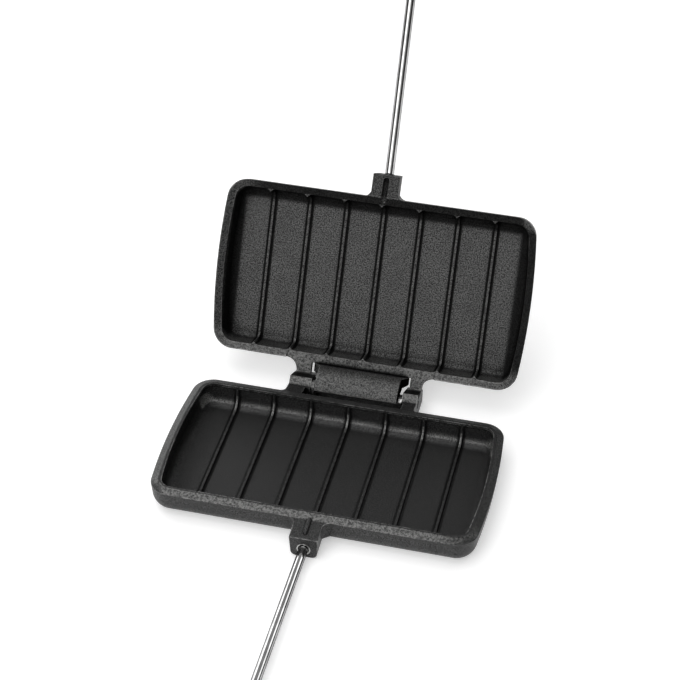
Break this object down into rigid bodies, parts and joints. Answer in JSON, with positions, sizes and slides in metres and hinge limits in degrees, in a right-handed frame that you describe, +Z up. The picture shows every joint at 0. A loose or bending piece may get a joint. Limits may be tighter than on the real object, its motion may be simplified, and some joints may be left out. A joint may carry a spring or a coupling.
{
  "type": "pie iron",
  "caption": "Hinged cast-iron pie iron: matching ribbed shallow trays on a hook-and-pin hinge, each with a long steel rod and a turned wooden grip, stored open.",
  "frame": {"origin": "centre of the lower plate's flat base, on the resting plane", "axes": "+Z up; +Y from the handles towards the hinge; X along the hinge pin"},
  "size_m": [0.23, 1.0673, 0.6391],
  "materials": {
    "cast_iron": "black, satin outside, grainy in the pockets, worn bright on raised edges",
    "pin_steel": "plain drawn steel, darkened",
    "plated_rod": "bright plated",
    "bush_steel": "ground bright",
    "fittings": "plated",
    "grip_wood": "turned, lightly varnished"
  },
  "bodies": {
    "lower_half": {"lower_iron": "cast_iron", "hinge_pin": "pin_steel", "lower_rod": "plated_rod", "lower_socket_bush": "bush_steel", "lower_stop_collar": "fittings", "lower_ferrule": "fittings", "lower_grip": "grip_wood", "lower_end_washer": "fittings", "lower_cap_nut": "fittings"},
    "lid_half": {"upper_iron": "cast_iron", "upper_rod": "plated_rod", "upper_socket_bush": "bush_steel", "upper_stop_collar": "fittings", "upper_ferrule": "fittings", "upper_grip": "grip_wood", "upper_end_washer": "fittings", "upper_cap_nut": "fittings"}
  },
  "joints": [
    {"name": "lid_hinge", "type": "hinge", "parent": "lower_half", "child": "lid_half", "pos_m": [0, 0.0801, 0.0112], "axis": [1, 0, 0], "range_deg": [0, 117.5]}
  ]
}
